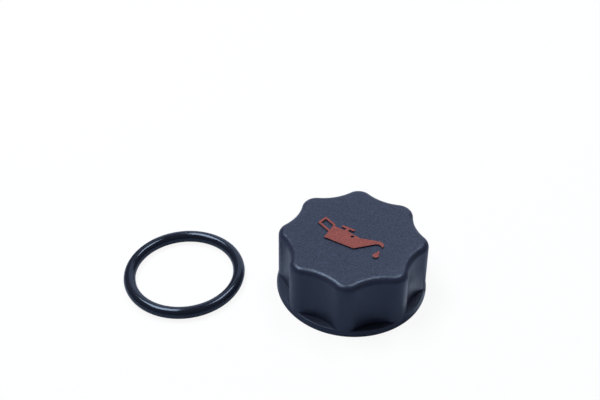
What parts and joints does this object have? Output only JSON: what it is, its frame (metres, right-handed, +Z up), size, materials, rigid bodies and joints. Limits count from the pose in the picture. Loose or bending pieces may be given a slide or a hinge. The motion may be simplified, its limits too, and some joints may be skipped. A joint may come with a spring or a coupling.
{
  "type": "oil filler cap",
  "caption": "Fluted screw-on oil filler cap with a round base flange, a raised red oil-can mark on its flat top, and its rubber seal ring lying loose beside it.",
  "frame": {"origin": "on the cap's axis, in the plane of its rim, which is the surface that the cap and the seal ring rest on", "axes": "+Z up through the cap's top face, +X along the base line of the oil-can mark towards its spout"},
  "size_m": [0.1212, 0.0925, 0.027],
  "materials": {
    "moulded_plastic": "matt, with a fine spark-eroded grain",
    "red_foil": "satin stamped foil",
    "seal_rubber": "smooth, lightly glossy"
  },
  "bodies": {
    "root": {"cap_body": "moulded_plastic", "oil_mark": "red_foil", "seal_ring": "seal_rubber"}
  },
  "joints": []
}
